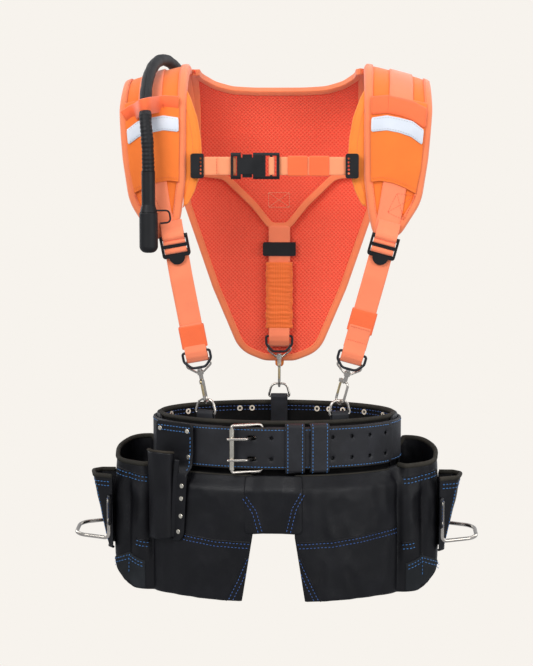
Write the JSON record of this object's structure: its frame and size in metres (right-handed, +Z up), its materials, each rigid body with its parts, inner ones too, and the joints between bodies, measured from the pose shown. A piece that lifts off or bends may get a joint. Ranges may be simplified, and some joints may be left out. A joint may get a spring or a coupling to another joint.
{
  "type": "tool belt",
  "caption": "Leather tool belt with nail bags and hammer loops, hung from a padded suspender harness with a drinking hose.",
  "frame": {"origin": "centre of the waist opening at half the height of the belt strap", "axes": "+Z up along the wearer, -Y forwards, +X to the wearer's left"},
  "size_m": [0.5088, 0.2352, 0.6726],
  "materials": {
    "mesh_fabric": "open spacer mesh",
    "binding": "folded binding tape",
    "pad_fabric": "woven nylon",
    "webbing": "ribbed webbing",
    "elastic": "knitted elastic",
    "sleeve": "thin woven nylon",
    "reflective": "retroreflective tape",
    "bladder": "soft film",
    "hose": "ribbed and braided",
    "valve_rubber": "matte moulded",
    "black_steel": "satin black",
    "black_plastic": "fine texture",
    "belt_leather": "waxed, semi-matte",
    "bag_leather": "soft grain",
    "nickel": "nickel plated"
  },
  "bodies": {
    "root": {"back_bindings": "binding", "back_panel": "mesh_fabric", "back_strap": "webbing", "back_strap_sleeve": "sleeve", "back_strap_slider": "black_plastic", "bag_left": "bag_leather", "bag_right": "bag_leather", "belt_eyelets": "nickel", "belt_liner": "bag_leather", "belt_strap": "belt_leather", "belt_tail": "belt_leather", "bite_valve": "hose", "centre_apron": "bag_leather", "d_ring_tabs": "belt_leather", "drink_hose": "hose", "hammer_loop_plates": "bag_leather", "hammer_loops": "nickel", "pad_bindings": "binding", "pad_elastics": "elastic", "pad_pockets": "pad_fabric", "reflective_strips": "reflective", "reservoir_bladder": "bladder", "reservoir_cover": "pad_fabric", "rivets": "nickel", "shoulder_pad_left": "pad_fabric", "shoulder_pad_right": "pad_fabric", "shoulder_webbings": "webbing", "side_pockets": "bag_leather", "side_strap_keepers": "elastic", "side_straps": "webbing", "sternum_rails": "pad_fabric", "strap_d_rings": "black_steel", "swivel_eyes": "nickel", "tool_sheath": "belt_leather", "yoke_panel": "mesh_fabric"},
    "buckle_frame": {"buckle_frame": "nickel"},
    "buckle_roller": {"buckle_roller": "nickel"},
    "buckle_prong_lower": {"buckle_prong_lower": "nickel"},
    "buckle_prong_upper": {"buckle_prong_upper": "nickel"},
    "belt_keeper_inner": {"belt_keeper_inner": "belt_leather"},
    "belt_keeper_outer": {"belt_keeper_outer": "belt_leather"},
    "d_ring_left": {"d_ring_left": "nickel"},
    "d_ring_right": {"d_ring_right": "nickel"},
    "d_ring_back": {"d_ring_back": "nickel"},
    "snap_hook_left": {"snap_hook_left": "nickel"},
    "snap_gate_left": {"snap_gate_left": "nickel"},
    "snap_hook_right": {"snap_hook_right": "nickel"},
    "snap_gate_right": {"snap_gate_right": "nickel"},
    "snap_hook_back": {"snap_hook_back": "nickel"},
    "snap_gate_back": {"snap_gate_back": "nickel"},
    "ladder_lock_left": {"ladder_lock_left": "black_plastic"},
    "ladder_lock_right": {"ladder_lock_right": "black_plastic"},
    "chest_strap": {"chest_clips": "black_plastic", "chest_webbing": "webbing", "chest_socket": "black_plastic", "chest_plug": "black_plastic"},
    "chest_keepers": {"chest_keepers": "elastic"},
    "chest_latch_lower": {"chest_latch_lower": "black_plastic"},
    "chest_latch_upper": {"chest_latch_upper": "black_plastic"},
    "bite_valve_cover": {"bite_valve_cover": "valve_rubber"}
  },
  "joints": [
    {"name": "buckle_frame_hinge", "type": "hinge", "parent": "root", "child": "buckle_frame", "pos_m": [-0.014, -0.0927, 0], "axis": [0, 0, 1], "range_deg": [0, 3]},
    {"name": "buckle_roller_spin", "type": "hinge", "parent": "buckle_frame", "child": "buckle_roller", "pos_m": [-0.051, -0.1058, 0], "axis": [0, 0, 1], "continuous": true},
    {"name": "buckle_prong_lower_hinge", "type": "hinge", "parent": "buckle_frame", "child": "buckle_prong_lower", "pos_m": [-0.014, -0.0927, -0.013], "axis": [0, 0, 1], "range_deg": [0, 3]},
    {"name": "buckle_prong_upper_hinge", "type": "hinge", "parent": "buckle_frame", "child": "buckle_prong_upper", "pos_m": [-0.014, -0.0927, 0.013], "axis": [0, 0, 1], "range_deg": [0, 3]},
    {"name": "belt_keeper_inner_slide", "type": "slide", "parent": "root", "child": "belt_keeper_inner", "axis": [0.9949, 0.1008, 0], "range_m": [-0.004, 0.002]},
    {"name": "belt_keeper_outer_slide", "type": "slide", "parent": "root", "child": "belt_keeper_outer", "axis": [0.9747, 0.2236, 0], "range_m": [-0.002, 0.003]},
    {"name": "d_ring_left_swing", "type": "hinge", "parent": "root", "child": "d_ring_left", "pos_m": [-0.086, -0.06382, 0.038], "axis": [0.9168, -0.3994, 0], "range_deg": [-2, 4]},
    {"name": "d_ring_right_swing", "type": "hinge", "parent": "root", "child": "d_ring_right", "pos_m": [0.08, -0.0663, 0.038], "axis": [0.9316, 0.3635, 0], "range_deg": [-2, 4]},
    {"name": "d_ring_back_swing", "type": "hinge", "parent": "root", "child": "d_ring_back", "pos_m": [0, 0.0804, 0.038], "axis": [1, 0, 0], "range_deg": [-4, 2]},
    {"name": "snap_hook_left_swivel", "type": "hinge", "parent": "root", "child": "snap_hook_left", "pos_m": [-0.09168, -0.06829, 0.08658], "axis": [-0.1752, -0.138, 0.9748], "range_deg": [-10, 10]},
    {"name": "snap_gate_left_press", "type": "hinge", "parent": "snap_hook_left", "child": "snap_gate_left", "pos_m": [-0.09076, -0.07329, 0.07783], "axis": [0.9814, -0.1035, 0.1617], "range_deg": [0, 20], "stiffness_Nm_per_rad": 0.05, "springref_deg": -5.73},
    {"name": "snap_hook_right_swivel", "type": "hinge", "parent": "root", "child": "snap_hook_right", "pos_m": [0.0884, -0.07029, 0.08604], "axis": [0.2594, -0.1233, 0.9579], "range_deg": [-10, 10]},
    {"name": "snap_gate_right_press", "type": "hinge", "parent": "snap_hook_right", "child": "snap_gate_right", "pos_m": [0.08224, -0.06495, 0.08004], "axis": [-0.7053, -0.7017, 0.1007], "range_deg": [0, 20], "stiffness_Nm_per_rad": 0.05, "springref_deg": -5.73},
    {"name": "snap_hook_back_swivel", "type": "hinge", "parent": "root", "child": "snap_hook_back", "pos_m": [0, 0.0814, 0.0874], "axis": [0, 0, 1], "range_deg": [-10, 10]},
    {"name": "snap_gate_back_press", "type": "hinge", "parent": "snap_hook_back", "child": "snap_gate_back", "pos_m": [0, 0.0752, 0.0794], "axis": [1, 0, 0], "range_deg": [0, 20], "stiffness_Nm_per_rad": 0.05, "springref_deg": -5.73},
    {"name": "ladder_lock_left_tilt", "type": "hinge", "parent": "root", "child": "ladder_lock_left", "pos_m": [-0.12253, -0.0926, 0.25831], "axis": [-0.9842, 0, -0.1769], "range_deg": [0, 20]},
    {"name": "ladder_lock_right_tilt", "type": "hinge", "parent": "root", "child": "ladder_lock_right", "pos_m": [0.13501, -0.09243, 0.25811], "axis": [-0.9652, 0, 0.2614], "range_deg": [0, 20]},
    {"name": "chest_strap_slide", "type": "slide", "parent": "root", "child": "chest_strap", "axis": [0, 0.0958, 0.9954], "range_m": [-0.015, 0.015]},
    {"name": "chest_keepers_slide", "type": "slide", "parent": "chest_strap", "child": "chest_keepers", "axis": [1, 0, 0], "range_m": [-0.006, 0.012]},
    {"name": "chest_latch_lower_squeeze", "type": "hinge", "parent": "chest_strap", "child": "chest_latch_lower", "pos_m": [-0.0175, -0.0798, 0.3354], "axis": [0, 1, 0], "range_deg": [0, 4], "stiffness_Nm_per_rad": 0.3},
    {"name": "chest_latch_upper_squeeze", "type": "hinge", "parent": "chest_strap", "child": "chest_latch_upper", "pos_m": [-0.0175, -0.0798, 0.3526], "axis": [0, -1, 0], "range_deg": [0, 4], "stiffness_Nm_per_rad": 0.3},
    {"name": "bite_valve_cover_pull", "type": "slide", "parent": "root", "child": "bite_valve_cover", "axis": [0, 0, -1], "range_m": [0, 0.035]}
  ],
  "couplings": [
    {"joint": "chest_latch_lower_squeeze", "follows": "chest_latch_upper_squeeze", "ratio": 1}
  ]
}
